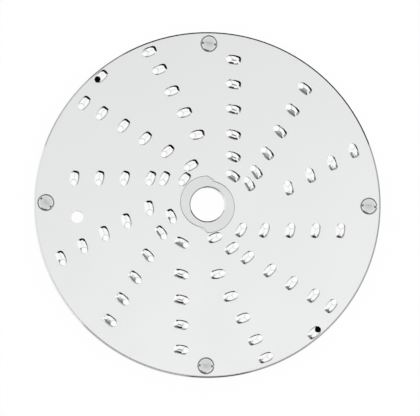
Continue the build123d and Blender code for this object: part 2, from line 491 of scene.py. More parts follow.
@dataclass(frozen=True)
class CastAluminium(MetalFinish):
    """Cast aluminium turned on the hub's face and rim, with painted shade in the tooth pockets and
    outer wall.
    """

    grain_size: float = 0.35 * MM
    grain_depth: float = 0.02 * MM
    grain_detail: float = 4.0
    ring_pitch: float = 0.18 * MM
    ring_depth: float = 0.003 * MM
    # Painted shade: a near-black, rough, non-metallic colour on the pocket faces under the edge
    # teeth, where shade falls.
    pocket_shade_colour: Colour = (0.02, 0.019, 0.018)
    pocket_shade_roughness: float = 0.8
    machined_gloss: float = 0.09
    rim_reach: Point = (100.8 * MM, 101.5 * MM)
    bore_reach: Point = (10.75 * MM, 10.85 * MM)
    machined_levels: Point = (5.9 * MM, 6.1 * MM)
    # Painted shade: the outer wall below the turned bevel is coloured darker, to show a dark line
    # along the rim's side.
    wall_shade_colour: Colour = (0.36, 0.365, 0.36)
    wall_shade_reach: Point = (102.2 * MM, 102.4 * MM)

    POCKET_SHADE_NAME = "stained"

    def make(self, effects: SurfaceEffects) -> Material:
        """Builds the casting's material.

        Args:
            effects: The shared shader groups.

        Returns:
            The material.
        """
        material, graph, shader, gloss = self.start(effects)
        place = graph.place()
        axes = graph.axes(place)
        radius = graph.off_axis(axes)
        turned = graph.fade(axes["Z"], self.machined_levels)
        # Mask of the pocket faces that take the painted shade.
        stained = graph.marked(self.POCKET_SHADE_NAME)
        # Mask of the outer wall below the turned bevel, which takes the painted shade.
        wall = graph.math("MULTIPLY", graph.fade(radius, self.wall_shade_reach),
                          graph.math("SUBTRACT", 1.0, turned))
        cast = graph.out("ShaderNodeTexNoise", "Fac", Vector=place, Scale=1 / self.grain_size,
                         Detail=self.grain_detail)
        rings = graph.out("ShaderNodeGroup", "Height", {"node_tree": effects.turning},
                          Radius=radius, Pitch=self.ring_pitch)
        height = graph.blend(turned, graph.math("MULTIPLY", cast, self.grain_depth),
                             graph.math("MULTIPLY", rings, self.ring_depth))
        gloss = graph.fade(radius, self.rim_reach, (gloss, self.machined_gloss))
        gloss = graph.fade(radius, self.bore_reach, (self.machined_gloss, gloss))
        graph.wire(shader,
                   Base_Color=graph.coats(self.colour, (wall, self.wall_shade_colour),
                                          (stained, self.pocket_shade_colour)),
                   Roughness=graph.blend(stained, gloss, self.pocket_shade_roughness),
                   Metallic=graph.math("SUBTRACT", 1.0, stained), Normal=graph.relief(height))
        return material


@dataclass(frozen=True)
class TurnedSteel(MetalFinish):
    """Turned screws: rings on the face, painted highlight on the edge, painted shade by and in the
    slot and round the head.
    """

    ring_pitch: float = 0.16 * MM
    ring_depth: float = 0.006 * MM
    # Painted highlight: the bevelled ring round the face is coloured lighter as well as made
    # glossier.
    edge_highlight_colour: Colour = (0.8, 0.8, 0.8)
    edge_reach: Point = (3.65 * MM, 3.75 * MM)
    edge_gloss: float = 0.08
    # Painted shade: a darker colour on the outer edge of the head, for the shade in the narrow ring
    # between head and countersink.
    gap_shade_colour: Colour = (0.34, 0.34, 0.34)
    gap_shade_reach: Point = (4.05 * MM, 4.2 * MM)
    # Painted shade: a darker patch on the face to both sides of the slot's middle, for the dark
    # sectors that the turned face reflects.
    face_shade_colour: Colour = (0.56, 0.565, 0.565)
    face_shade_across: Point = (0.6 * MM, 2.0 * MM)
    face_shade_along: Point = (0.6 * MM, 2.8 * MM)
    # Painted shade: a dark colour low in the slot and on its floor, where shade falls in the
    # recess.
    slot_shade_colour: Colour = (0.12, 0.12, 0.12)
    slot_shade_reach: Point = (2.9 * MM, 3.4 * MM)
    slot_shade_level: Point = (-0.4 * MM, -0.25 * MM)
    slot_shade_across: Point = (0.55 * MM, 0.65 * MM)

    def make(self, effects: SurfaceEffects) -> Material:
        """Builds the screws' material.

        Args:
            effects: The shared shader groups.

        Returns:
            The material.
        """
        material, graph, shader, gloss = self.start(effects)
        place = graph.out("ShaderNodeAttribute", "Vector", {"attribute_name": RimScrews.PLACE_NAME})
        axes = graph.axes(place)
        radius = graph.off_axis(axes)
        along, across = graph.math("ABSOLUTE", axes["X"]), graph.math("ABSOLUTE", axes["Y"])
        # Mask of the painted shade beside the slot's middle.
        face_shade = graph.math("MULTIPLY", graph.fade(across, self.face_shade_across, FALL),
                          graph.fade(along, self.face_shade_along, FALL))
        # Mask of the slot's lower walls and floor, which take the painted shade.
        in_slot = graph.math("MULTIPLY", graph.fade(across, self.slot_shade_across, FALL),
                             graph.fade(axes["Z"], self.slot_shade_level, FALL))
        slot_shade = graph.math("MULTIPLY", in_slot, graph.fade(radius, self.slot_shade_reach))
        # Mask of the bevelled ring, which is glossier and carries the painted highlight.
        broken = graph.fade(radius, self.edge_reach)
        # Mask of the head's outer edge, which takes the painted shade.
        gap_shade = graph.fade(radius, self.gap_shade_reach)
        rings = graph.out("ShaderNodeGroup", "Height", {"node_tree": effects.turning},
                          Radius=radius, Pitch=self.ring_pitch)
        graph.wire(shader,
                   Base_Color=graph.coats(self.colour, (face_shade, self.face_shade_colour),
                                          (broken, self.edge_highlight_colour), (slot_shade, self.slot_shade_colour),
                                          (gap_shade, self.gap_shade_colour)),
                   Roughness=graph.blend(broken, gloss, self.edge_gloss),
                   Normal=graph.relief(graph.math("MULTIPLY", rings, self.ring_depth)))
        return material


def smooth_least(first: float, second: float, blend: float) -> float:
    """Gives the smaller of two heights, rounded over where they differ by less than the blend."""
    share = max(blend - abs(first - second), 0.0) / blend
    return min(first, second) - share * share * blend / 4


@dataclass
class ToothForm:
    """One pressed tooth, hole centre at the origin, front along +X, sheet's top at Z = 0."""

    nose: float = 2.6 * MM
    nose_radius: float = 1.3 * MM
    shoulder: Point = (0.1 * MM, 2.6 * MM)
    shoulder_radius: float = 2.2 * MM
    waist: Point = (-3.3 * MM, 2.85 * MM)
    waist_radius: float = 14.0 * MM
    tail: Point = (-7.3 * MM, 2.3 * MM)
    tail_radius: float = 1.9 * MM
    hole_radius: float = 1.66 * MM
    lip_bevel: Point = (0.06 * MM, 0.3 * MM)
    height: float = 1.49 * MM
    crest_slope: float = 0.01
    crest_round: float = 0.3 * MM
    flank_slope: float = 0.68
    flank_bend: float = 0.14 / MM
    edge_slope: float = 0.84
    edge_height: float = 0.48 * MM
    edge_blend: float = 0.02 * MM
    tail_edge_slope: float = 0.76
    tail_edge_height: float = 1.2 * MM
    tail_reach: Point = (-6.0 * MM, -4.5 * MM)
    front_foot: float = 2.05 * MM
    front_blend: float = 0.25 * MM
    foot_knee: float = 0.004 * MM
    lip_wall: float = 0.8 * MM
    sheet: float = 1.0 * MM
    hollow_radius: float = 1.9 * MM
    hollow_tail: float = 4.8 * MM
    hollow_shares: tuple[float, ...] = (0.4, 0.75, 0.93, 1.0)
    hollow_power: int = 3
    samples: int = 56
    fine_factor: int = 8
    edge_insets: tuple[float, ...] = (0.02 * MM, 0.1 * MM, 0.35 * MM, 0.56 * MM, 0.8 * MM,
                                      1.42 * MM, 1.56 * MM)
    spare_steps: int = 3
    least_sine: float = 0.3
    hood_steps: int = 6
    sharp_degrees: float = 55.0

    def outline(self, count: int) -> Outline:
        """Gives the outline where the hood meets the flat sheet.

        Args:
            count: How many points it has.

        Returns:
            The points, counter-clockwise.
        """
        side = [(*self.shoulder, self.shoulder_radius), (*self.waist, self.waist_radius),
                (*self.tail, self.tail_radius)]
        other = [(x, -y, radius) for x, y, radius in reversed(side)]
        return rounded_outline([(self.nose, 0.0, self.nose_radius), *side, *other], count)

    def foot(self) -> Outline:
        """Gives the outline's points that the mesh uses."""
        return self.outline(self.samples)

    def height_at(self, x: float, inset: float) -> float:
        """Gives the hood's height: a steep edge, bowed flanks and a crest that falls to the tail.

        Args:
            x: Distance ahead of the hole's centre.
            inset: Distance from the outline.

        Returns:
            The height above the sheet, zero on the flat.
        """
        rear, middle = self.tail_reach
        rearward = min(max((middle - x) / (middle - rear), 0.0), 1.0)
        edge_top = self.edge_height + (self.tail_edge_height - self.edge_height) * rearward
        slope = self.edge_slope + (self.tail_edge_slope - self.edge_slope) * rearward
        climb = max(inset - edge_top / slope, 0.0)
        flank = edge_top + self.flank_slope * climb - self.flank_bend * climb**2 / 2
        crest = self.height - self.crest_slope * max(-self.hole_radius - x, 0.0)
        front = self.height * max(self.front_foot - x, 0.0) / (self.front_foot + self.hole_radius)
        roof = smooth_least(smooth_least(crest, flank, self.crest_round), front, self.front_blend)
        raw = max(smooth_least(roof, inset * slope, self.edge_blend), 0.0)
        return math.sqrt(raw**2 + self.foot_knee**2) - self.foot_knee

    def hood(self) -> list[Loop]:
        """Gives the hood's surface, its loops close together near the foot.

        Returns:
            The loops from the hood's foot to the brim of the hole.
        """
        fine = [Vector(point) for point in self.outline(self.fine_factor * self.samples)]
        foot = [Vector(point) for point in self.foot()]
        brim = [Vector(point) for point in self.around_hole(self.brim_reach)]
        loops: list[Loop] = [[] for _ in range(1 + len(self.edge_insets) + self.hood_steps)]
        for index, (start, end) in enumerate(zip(foot, brim)):
            reach = (end - start).length
            along = (foot[(index + 1) % self.samples] - foot[index - 1]).normalized()
            across = max(abs(along.cross(end - start)) / reach, self.least_sine)
            pace = len(self.edge_insets) + self.spare_steps
            edges = [min(inset / across, reach * (step + 1) / pace)
                     for step, inset in enumerate(self.edge_insets)]
            rest = [edges[-1] + (reach - edges[-1]) * (step + 1) / self.hood_steps
                    for step in range(self.hood_steps)]
            loops[0].append((start.x, start.y, 0.0))
            for loop, walked in zip(loops[1:], edges + rest):
                point = start.lerp(end, walked / reach)
                inset = min((point - other).length for other in fine)
                loop.append((point.x, point.y, self.height_at(point.x, inset)))
        return loops

    def around_hole(self, reach: Callable[[float, float], float]) -> Outline:
        """Gives an outline around the hole, with a point in the direction of each of the foot's.

        Args:
            reach: Gives the distance from the hole's centre for a direction's cosine and sine.

        Returns:
            The outline's points.
        """
        points = []
        for x, y in self.foot():
            length = math.hypot(x, y)
            distance = reach(x / length, y / length)
            points.append((x / length * distance, y / length * distance))
        return points

    def brim_reach(self, cosine: float, sine: float) -> float:
        """Gives how far the bevelled top of the cut edge is from the hole's centre."""
        rearward = (1 - cosine) / 2
        return self.hole_radius + (
            self.lip_bevel[0] + (self.lip_bevel[1] - self.lip_bevel[0]) * rearward)

    def hollow_reach(self, cosine: float, sine: float) -> float:
        """Gives how far the hollow's mouth on the underside is from the hole's centre.

        Args:
            cosine: The direction's cosine.
            sine: The direction's sine.

        Returns:
            The distance.
        """
        radius, tail_centre = self.hollow_radius, self.hollow_tail - self.hollow_radius
        if cosine >= 0:
            return radius
        side = radius / abs(sine) if sine else math.inf
        if -side * cosine <= tail_centre:
            return side
        return -tail_centre * cosine + math.sqrt(radius**2 - (tail_centre * sine) ** 2)

    def mouth(self) -> Outline:
        """Gives the outline of the hollow's mouth on the underside."""
        return self.around_hole(self.hollow_reach)

    def build(self) -> Mesh:
        """Builds the hood, its cutting lip and the hollow under it as one skin.

        Returns:
            The tooth's mesh.
        """
        mouth, loops = self.mouth(), self.hood()
        cut_from = (len(loops) - 1) * self.samples
        hole = self.around_hole(lambda cosine, sine: self.hole_radius)
        lip = [(x, y, z - self.lip_wall) for (x, y), (_, _, z) in zip(hole, loops[-1])]
        loops.append(lip)
        for share in self.hollow_shares:
            drop = share**self.hollow_power
            loops.append([(hx + (mx - hx) * share, hy + (my - hy) * share,
                           z + (-self.sheet - z) * drop)
                          for (hx, hy, z), (mx, my) in zip(lip, mouth)])
        draft = MeshDraft()
        draft.skin(loops)
        bmesh.ops.reverse_faces(draft.mesh, faces=draft.mesh.faces)
        draft.mark(RolledSteel.CUT_NAME, range(cut_from, cut_from + self.samples))
        return draft.finish("pressed_tooth", self.sharp_degrees)


@dataclass
class ToothPattern:
    """The rule that sets the teeth out: straight rows set to one side of the disc's radii."""

    disc_radius: float = 102.5 * MM
    row_letters: str = "ABCDEFGHIJKL"
    row_a_angle: float = 90.0
    row_offset: float = 12.7 * MM
    ring_step: float = 2.4 * MM
    first_ring_edge_distance: float = 5.7 * MM
    twin_rows: str = "FECBA" + 3 * "FEDCBA" + "FED"
    inner_rows: tuple[str, ...] = ("BI", "AH", "EJ", "BG", "DK", "AH", "EJ")
    edge_tooth_radius: float = 98.5 * MM
    edge_tooth_angles: tuple[float, ...] = (131.4, 311.4)

    def places(self) -> list[Place]:
        """Gives each tooth's place.

        Returns:
            X, Y and heading in degrees of each tooth.
        """
        letters = self.row_letters
        half_turn = len(letters) // 2
        twins = dict(zip(letters, letters[half_turn:] + letters[:half_turn]))
        rings = [letter + twins[letter] for letter in self.twin_rows] + list(self.inner_rows)
        polar_places = [(self.edge_tooth_radius, angle) for angle in self.edge_tooth_angles]
        for ring, rows in enumerate(rings):
            radius = self.disc_radius - self.first_ring_edge_distance - ring * self.ring_step
            lag = math.degrees(math.asin(self.row_offset / radius))
            for row in rows:
                row_angle = self.row_a_angle - letters.index(row) * 360 / len(letters)
                polar_places.append((radius, row_angle - lag))
        return [(*polar(radius, angle), angle + 90) for radius, angle in polar_places]


@dataclass
class ScrewPlaces:
    """Where the four screws stand, and how each slot was left."""

    circle_radius: float = 95.4 * MM
    phase: float = -0.55
    slot_angles: tuple[float, ...] = (-7.0, -8.0, -41.0, -4.0)

    def centres(self) -> list[Point]:
        """Gives the screws' centres."""
        count = len(self.slot_angles)
        return [polar(self.circle_radius, self.phase + 360 * index / count)
                for index in range(count)]


@dataclass
class KeyOutline:
    """The lobed outline of the plate's cutout: two eccentric arcs joined by two steps."""

    arc_radius: float = 15.35 * MM
    eccentricity: float = 1.6 * MM
    lobe_angle: float = 115.0
    lobe_start: float = 89.0
    lobe_end: float = 260.5
    root_radius: float = 1.5 * MM
    tip_radius: float = 0.5 * MM
    arc_corners: int = 40
    samples: int = 240

    def lobe_point(self, step: int) -> Point:
        """Gives one corner of the first lobe, on its eccentric arc.

        Args:
            step: The corner's number, from the lobe's start.

        Returns:
            The corner, as seen from the disc's axis.
        """
        degrees = self.lobe_start + (self.lobe_end - self.lobe_start) * step / self.arc_corners
        turned = math.radians(degrees - self.lobe_angle)
        along = self.eccentricity * math.cos(turned)
        across = self.eccentricity * math.sin(turned)
        return polar(along + math.sqrt(self.arc_radius**2 - across**2), degrees)

    def points(self, growth: float) -> Outline:
        """Gives the outline.

        Args:
            growth: How far it is moved out into the sheet.

        Returns:
            The outline's points, counter-clockwise.
        """
        radii = {0: self.tip_radius, self.arc_corners: self.root_radius}
        corners = []
        for sign in (1, -1):
            for step in range(self.arc_corners + 1):
                x, y = self.lobe_point(step)
                corners.append((sign * x, sign * y, radii.get(step, 0.0)))
        outline = rounded_outline(corners, self.samples)
        shares = [1 + growth / math.hypot(x, y) for x, y in outline]
        return [(x * share, y * share) for (x, y), share in zip(outline, shares)]


def solid_from_nodes(name: str, base: Mesh, tree: NodeTree, values: dict[str, object]) -> Object:
    """Runs a Geometry Nodes tree on a mesh and keeps the result as a plain mesh.

    Args:
        name: The finished piece's name.
        base: The mesh that the tree starts from.
        tree: The tree.
        values: Its inputs' values by name.

    Returns:
        The finished piece, at the origin.
    """
    maker = place_object(name + "_maker", base)
    modifier = maker.modifiers.new(tree.name, "NODES")
    modifier.node_group = tree
    for socket in tree.interface.items_tree:
        if socket.in_out == "INPUT" and socket.name in values:
            modifier[socket.identifier] = values[socket.name]
    made = plain_mesh(maker)
    maker.modifiers.remove(modifier)
    bpy.data.objects.remove(maker)
    made.name = name
    return place_object(name, made)


def points_mesh(name: str, places: Sequence[Place], level: float, turn_name: str) -> Mesh:
    """Makes a mesh of bare points that each carry a turn.

    Args:
        name: The mesh's name.
        places: X, Y and turn in degrees of each point.
        level: The points' height.
        turn_name: The attribute that holds the turn, in radians.

    Returns:
        The mesh.
    """
    made = bpy.data.meshes.new(name)
    made.from_pydata([(x, y, level) for x, y, _ in places], [], [])
    turn = made.attributes.new(turn_name, "FLOAT", "POINT")
    turn.data.foreach_set("value", [math.radians(degrees) for _, _, degrees in places])
    return made


def instances(graph: Graph, points: NodeSocket, shape: NodeSocket, turn_name: str) -> NodeSocket:
    """Adds the nodes that set a shape on each point, turned by the point's attribute.

    Args:
        graph: The tree's graph.
        points: The points.
        shape: The object to set on them.
        turn_name: The attribute that holds the turn.

    Returns:
        The realized copies.
    """
    turn = graph.out("GeometryNodeInputNamedAttribute", "Attribute", {"data_type": "FLOAT"},
                     Name=turn_name)
    euler = graph.out("ShaderNodeCombineXYZ", "Vector", Z=turn)
    rotation = graph.out("FunctionNodeEulerToRotation", "Rotation", Euler=euler)
    source = graph.out("GeometryNodeObjectInfo", "Geometry", Object=shape)
    copies = graph.out("GeometryNodeInstanceOnPoints", "Instances", Points=points, Instance=source,
                       Rotation=rotation)
    return graph.out("GeometryNodeRealizeInstances", "Geometry", Geometry=copies)


@dataclass
class GratingPlate:
    """The pressed steel sheet with its teeth, cutout and holes."""

    radius: float = 101.6 * MM
    bottom: float = 7.0 * MM
    top: float = 8.0 * MM
    edge_break: float = 0.2 * MM
    hole_break: float = 0.3 * MM
    break_steps: int = 4
    spare_hole_radius: float = 3.5 * MM
    spare_hole_place: Point = (77.3 * MM, 185.7)
    countersink_radius: float = 5.15 * MM
    rim_samples: int = 288
    hole_samples: int = 48
    weld: float = 0.004 * MM
    sharp_degrees: float = 50.0
    tooth: ToothForm = field(default_factory=ToothForm)
    pattern: ToothPattern = field(default_factory=ToothPattern)
    screws: ScrewPlaces = field(default_factory=ScrewPlaces)
    key: KeyOutline = field(default_factory=KeyOutline)

    TURN_NAME = "heading"

    def edge_stack(self, outline: Callable[[float], Outline], growth: float) -> list[Loop]:
        """Gives the loops of an edge through the sheet, with its top corner broken.

        Args:
            outline: Gives the edge's outline, moved into the sheet by a distance.
            growth: How far the top corner is broken.

        Returns:
            Loops from the top of the sheet to the bottom.
        """
        loops = []
        for step in range(self.break_steps + 1):
            angle = math.pi / 2 * step / self.break_steps
            loops.append(at_height(outline(growth * (1 - math.sin(angle))),
                                   self.top - growth * (1 - math.cos(angle))))
        loops.append(at_height(outline(0.0), self.bottom))
        return loops

    def edges(self) -> list[list[Loop]]:
        """Gives the loops of the sheet's edges.

        Returns:
            The loops of the rim, the cutout, the plain hole and the countersinks, in that order.
        """
        around, spare = self.hole_samples, polar(*self.spare_hole_place)
        stacks = [
            self.edge_stack(lambda d: circle(self.radius - d, self.rim_samples), self.edge_break),
            self.edge_stack(self.key.points, self.hole_break),
            self.edge_stack(lambda d: circle(self.spare_hole_radius + d, around, spare),
                            self.hole_break),
        ]
        floor_radius = self.countersink_radius - (self.top - self.bottom)
        cone = ((self.countersink_radius, self.top), (floor_radius, self.bottom))
        for centre in self.screws.centres():
            stacks.append([at_height(circle(radius, around, centre), level)
                           for radius, level in cone])
        return stacks

    def edge_mesh(self, stacks: Sequence[Sequence[Loop]]) -> Mesh:
        """Builds the walls of the rim and of the holes.

        Args:
            stacks: The edges' loops, the rim's first.

        Returns:
            The walls' mesh, marked where the sheet was cut.
        """
        draft = MeshDraft()
        draft.skin(stacks[0])
        outward = set(draft.mesh.faces)
        for stack in stacks[1:]:
            draft.skin(stack)
        inward = [face for face in draft.mesh.faces if face not in outward]
        bmesh.ops.reverse_faces(draft.mesh, faces=inward)
        sheared: list[int] = []
        counted = 0
        for stack, bright in zip(stacks, (0, self.break_steps, self.break_steps)):
            around = len(stack[0])
            through = counted + around * (len(stack) - 1)
            sheared.extend(range(counted + around * bright, through))
            counted = through
        draft.mark(RolledSteel.CUT_NAME, sheared)
        return draft.finish("sheet_edges", self.sharp_degrees)

    def outline_mesh(self, name: str, loops: Sequence[Loop]) -> Mesh:
        """Makes a mesh of bare closed outlines.

        Args:
            name: The mesh's name.
            loops: The outlines.

        Returns:
            The mesh.
        """
        draft = MeshDraft()
        for loop in loops:
            ring = draft.ring(loop)
            for index, vert in enumerate(ring):
                draft.mesh.edges.new((vert, ring[(index + 1) % len(ring)]))
        return draft.finish(name)

    def tree(self) -> NodeTree:
        """Builds the tree that sets the teeth and fills the flat sheet around them.

        Returns:
            The tree. It starts from the teeth's points.
        """
        tools = ("Tooth", "Tooth Foot", "Tooth Mouth", "Top Outlines", "Bottom Outlines", "Edges")
        sizes = ("Sheet Thickness", "Sheet Top", "Weld Distance")
        tree, graph, given = start_group(
            "set_teeth_in_sheet", "GeometryNodeTree",
            {"Tooth Points": "Geometry", **dict.fromkeys(tools, "Object"),
             **dict.fromkeys(sizes, "Float"), "Finish": "Material"}, {"Plate": "Geometry"})
        points = given["Tooth Points"]
        join = graph.add("GeometryNodeJoinGeometry")
        bottom = graph.math("SUBTRACT", given["Sheet Top"], given["Sheet Thickness"])
        sides = [("Tooth Foot", "Top Outlines", given["Sheet Top"], False),
                 ("Tooth Mouth", "Bottom Outlines", bottom, True)]
        for foot, outlines, level, turned in sides:
            feet = instances(graph, points, given[foot], self.TURN_NAME)
            flat = self.flat_side(graph, feet, given[outlines], level)
            if turned:
                flat = graph.out("GeometryNodeFlipFaces", "Mesh", Mesh=flat)
            graph.wire(join, Geometry=flat)
        graph.wire(join, Geometry=instances(graph, points, given["Tooth"], self.TURN_NAME))
        walls = graph.out("GeometryNodeObjectInfo", "Geometry", Object=given["Edges"])
        graph.wire(join, Geometry=walls)
        welded = graph.out("GeometryNodeMergeByDistance", "Geometry",
                           Geometry=join.outputs["Geometry"], Distance=given["Weld Distance"])
        whole = graph.out("GeometryNodeRealizeInstances", "Geometry", Geometry=welded)
        dressed = graph.out("GeometryNodeSetMaterial", "Geometry", Geometry=whole,
                            Material=given["Finish"])
        graph.add("NodeGroupOutput", Plate=dressed)
        return tree

    def flat_side(self, graph: Graph, feet: NodeSocket, outlines: NodeSocket,
                  level: NodeSocket) -> NodeSocket:
        """Adds the nodes that fill one flat side of the sheet around the teeth.

        Args:
            graph: The tree's graph.
            feet: The teeth's outlines on this side.
            outlines: The object with the sheet's own outlines on this side.
            level: The side's height.

        Returns:
            The flat side, facing up.
        """
        both = graph.add("GeometryNodeJoinGeometry")
        graph.wire(both, Geometry=feet)
        graph.wire(both, Geometry=graph.out("GeometryNodeObjectInfo", "Geometry", Object=outlines))
        curves = graph.out("GeometryNodeMeshToCurve", "Curve", Mesh=both.outputs["Geometry"])
        filled = graph.out("GeometryNodeFillCurve", "Mesh", {"mode": "TRIANGLES"}, Curve=curves)
        lift = graph.out("ShaderNodeCombineXYZ", "Vector", Z=level)
        raised = graph.out("GeometryNodeTransform", "Geometry", Geometry=filled, Translation=lift)
        return graph.out("GeometryNodeSetShadeSmooth", "Geometry", Geometry=raised,
                         Shade_Smooth=False)

    def build(self, finish: Material) -> Object:
        """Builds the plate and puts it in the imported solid's place.

        Args:
            finish: The plate's material.

        Returns:
            The finished piece.
        """
        stacks = self.edges()
        helpers = {
            "Tooth": self.tooth.build(),
            "Tooth Foot": self.outline_mesh("tooth_foot", [at_height(self.tooth.foot(), 0.0)]),
            "Tooth Mouth": self.outline_mesh("tooth_mouth", [at_height(self.tooth.mouth(), 0.0)]),
            "Top Outlines": self.outline_mesh("sheet_top", [stack[0] for stack in stacks]),
            "Bottom Outlines": self.outline_mesh("sheet_bottom", [stack[-1] for stack in stacks]),
            "Edges": self.edge_mesh(stacks),
        }
        tools = {name: place_object(mesh.name, mesh) for name, mesh in helpers.items()}
        points = points_mesh("tooth_points", self.pattern.places(), self.top, self.TURN_NAME)
        values = {**tools, "Sheet Thickness": self.top - self.bottom, "Sheet Top": self.top,
                  "Weld Distance": self.weld, "Finish": finish}
        piece = solid_from_nodes("toothed_plate", points, self.tree(), values)
        for tool in tools.values():
            bpy.data.objects.remove(tool)
        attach(piece, BODY)
        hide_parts(Node.PLATE.value)
        return piece


@dataclass
class RimScrews:
    """The four slotted countersunk screws."""

    head_level: float = 7.93 * MM
    face_radius: float = 3.75 * MM
    ring_bevel: Point = (0.35 * MM, 0.07 * MM)
    edge_bevel: Point = (0.45 * MM, 0.37 * MM)
    shank_radius: float = 2.5 * MM
    length: float = 6.4 * MM
    tip_chamfer: float = 0.4 * MM
    axis_gap: float = 0.02 * MM
    slot_width: float = 1.2 * MM
    slot_depth: float = 0.8 * MM
    cutter_length: float = 15.0 * MM
    crisp_degrees: float = 10.0
    samples: int = 64
    places: ScrewPlaces = field(default_factory=ScrewPlaces)

    TURN_NAME = "slot_turn"
    PLACE_NAME = "place_on_screw"

    def profile(self) -> list[Point]:
        """Gives the screw's outline on one side of its axis.

        Returns:
            Radius and height of its corners, from the head's centre to the tip's.
        """
        ring_radius, ring_level = self.face_radius + self.ring_bevel[0], -self.ring_bevel[1]
        head_radius, head_level = ring_radius + self.edge_bevel[0], ring_level - self.edge_bevel[1]
        return [
            (self.axis_gap, 0.0),
            (self.face_radius, 0.0),
            (ring_radius, ring_level),
            (head_radius, head_level),
            (self.shank_radius, head_level - (head_radius - self.shank_radius)),
            (self.shank_radius, self.tip_chamfer - self.length),
            (self.shank_radius - self.tip_chamfer, -self.length),
            (self.axis_gap, -self.length),
        ]

    def shape(self) -> Mesh:
        """Builds one screw with its slot along X, its head's face at Z = 0.

        Returns:
            The screw's mesh, with each point's place on the screw as an attribute.
        """
        draft = MeshDraft()
        draft.skin([at_height(circle(radius, self.samples), level)
                    for radius, level in self.profile()])
        draft.mesh.verts.ensure_lookup_table()
        first, last = draft.mesh.verts[:self.samples], draft.mesh.verts[-self.samples:]
        draft.mesh.faces.new(first)
        draft.mesh.faces.new(list(reversed(last)))
        bmesh.ops.recalc_face_normals(draft.mesh, faces=draft.mesh.faces)
        turned = place_object("turned_screw", draft.finish("turned_screw"))
        block = MeshDraft()
        bmesh.ops.create_cube(block.mesh, size=1.0)
        size = Vector((self.cutter_length, self.slot_width, 2 * self.slot_depth))
        bmesh.ops.scale(block.mesh, vec=size, verts=block.mesh.verts)
        cutter = place_object("slot_cutter", block.finish("slot_cutter"))
        cut = turned.modifiers.new("slot", "BOOLEAN")
        cut.operation, cut.solver, cut.object = "DIFFERENCE", "EXACT", cutter
        made = plain_mesh(turned)
        bpy.data.objects.remove(cutter)
        bpy.data.objects.remove(turned)
        made.set_sharp_from_angle(angle=math.radians(self.crisp_degrees))
        place = made.attributes.new(self.PLACE_NAME, "FLOAT_VECTOR", "POINT")
        place.data.foreach_set("vector", [axis for vert in made.vertices for axis in vert.co])
        return made

    def tree(self) -> NodeTree:
        """Builds the tree that sets a screw in each hole.

        Returns:
            The tree. It starts from the screws' points.
        """
        tree, graph, given = start_group(
            "set_screws", "GeometryNodeTree",
            {"Screw Points": "Geometry", "Screw": "Object", "Finish": "Material"},
            {"Screws": "Geometry"})
        copies = instances(graph, given["Screw Points"], given["Screw"], self.TURN_NAME)
        dressed = graph.out("GeometryNodeSetMaterial", "Geometry", Geometry=copies,
                            Material=given["Finish"])
        graph.add("NodeGroupOutput", Screws=dressed)
        return tree

    def build(self, finish: Material) -> Object:
        """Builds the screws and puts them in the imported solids' place.

        Args:
            finish: The screws' material.

        Returns:
            The finished piece.
        """
        screw = place_object("one_screw", self.shape())
        places = [(*centre, turn)
                  for centre, turn in zip(self.places.centres(), self.places.slot_angles)]
        points = points_mesh("screw_points", places, self.head_level, self.TURN_NAME)
        values = {"Screw": screw, "Finish": finish}
        piece = solid_from_nodes("slotted_screws", points, self.tree(), values)
        bpy.data.objects.remove(screw)
        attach(piece, BODY)
        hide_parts(Node.SCREWS.value)
        return piece


@dataclass
class Carrier:
    """The cast aluminium carrier under the plate, its edges rounded as a casting's are."""

    edge_round: float = 0.12 * MM
    round_steps: int = 2
    round_profile: float = 0.5
    edge_degrees: float = 30.0
    crisp_degrees: float = 10.0
    flat_degrees: float = 0.5
    level_limit: float = 0.999
    weld: float = 0.002 * MM
    pocket_radius: float = 2.1 * MM
    pocket_levels: Point = (1.0 * MM, 6.95 * MM)
    pattern: ToothPattern = field(default_factory=ToothPattern)

    def in_pocket(self, face: bmesh.types.BMFace) -> bool:
        """Tells whether a face lies in one of the pockets under the edge teeth.

        Args:
            face: The face.

        Returns:
            True for a face of a pocket's wall or floor.
        """
        middle = face.calc_center_median()
        pockets = [Vector(polar(self.pattern.edge_tooth_radius, angle))
                   for angle in self.pattern.edge_tooth_angles]
        near = any((middle.to_2d() - pocket).length < self.pocket_radius for pocket in pockets)
        return near and self.pocket_levels[0] < middle.z < self.pocket_levels[1]

    def build(self, finish: Material) -> Object:
        """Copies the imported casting, rounds its edges and dresses it.

        Args:
            finish: The casting's material.

        Returns:
            The finished piece.
        """
        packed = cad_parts[Node.CARRIER.value]
        draft = MeshDraft()
        mesh = draft.mesh
        mesh.from_mesh(packed.data)
        mesh.transform(packed.matrix_world)
        bmesh.ops.remove_doubles(mesh, verts=mesh.verts, dist=self.weld)
        bmesh.ops.dissolve_limit(mesh, angle_limit=math.radians(self.flat_degrees),
                                 verts=mesh.verts, edges=mesh.edges)
        # Marks the pocket faces under the edge teeth for the casting's painted shade.
        stained = [index for index, face in enumerate(mesh.faces) if self.in_pocket(face)]
        draft.mark(CastAluminium.POCKET_SHADE_NAME, stained)
        least_angle = math.radians(self.edge_degrees)
        corners = [edge for edge in mesh.edges
                   if edge.is_manifold and edge.calc_face_angle() > least_angle]
        bmesh.ops.bevel(mesh, geom=corners, offset=self.edge_round, segments=self.round_steps,
                        profile=self.round_profile, affect="EDGES")
        piece = place_object("cast_carrier", draft.finish("cast_carrier", self.crisp_degrees))
        piece.data.materials.append(finish)
        for polygon in piece.data.polygons:
            polygon.use_smooth = abs(polygon.normal.z) < self.level_limit
        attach(piece, BODY)
        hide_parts(Node.CARRIER.value)
        return piece


